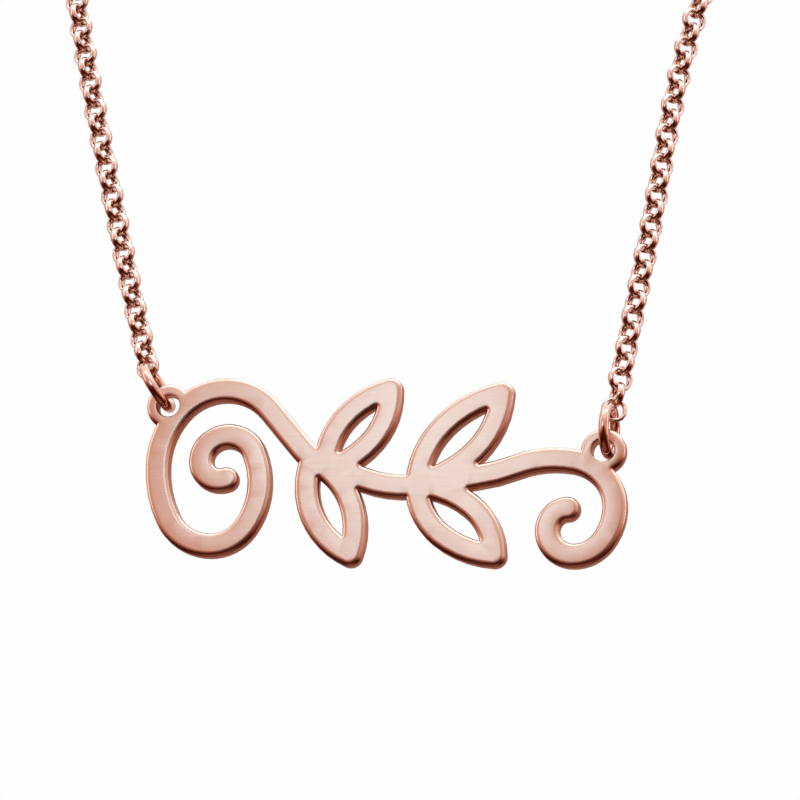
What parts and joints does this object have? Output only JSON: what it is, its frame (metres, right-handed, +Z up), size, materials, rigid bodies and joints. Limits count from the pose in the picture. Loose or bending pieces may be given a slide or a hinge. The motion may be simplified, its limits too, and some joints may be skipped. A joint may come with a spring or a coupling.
{
  "type": "nameplate necklace",
  "caption": "Fine round-link chain necklace in rose gold with a flat cut-out plate of scrolls and open leaves, jump rings at its eyelets and a plain clasp behind the neck.",
  "frame": {"origin": "the middle of the nape, in the middle of the clasp's ring, where the loop lies on the back of a neck", "axes": "+Z up, -Y the way the plate faces and the wearer looks, +X to the right of somebody who looks at the plate"},
  "size_m": [0.1004, 0.1104, 0.119],
  "materials": {
    "satin_rose_gold": "fine satin rose gold plate on silver, with polished rounded edges",
    "bright_rose_gold": "polished rose gold plate on silver"
  },
  "bodies": {
    "root": {"nameplate": "satin_rose_gold", "jump_ring_left": "bright_rose_gold", "jump_ring_right": "bright_rose_gold", "chain_left": "bright_rose_gold", "chain_right": "bright_rose_gold", "clasp": "bright_rose_gold", "end_ring": "bright_rose_gold"}
  },
  "joints": []
}
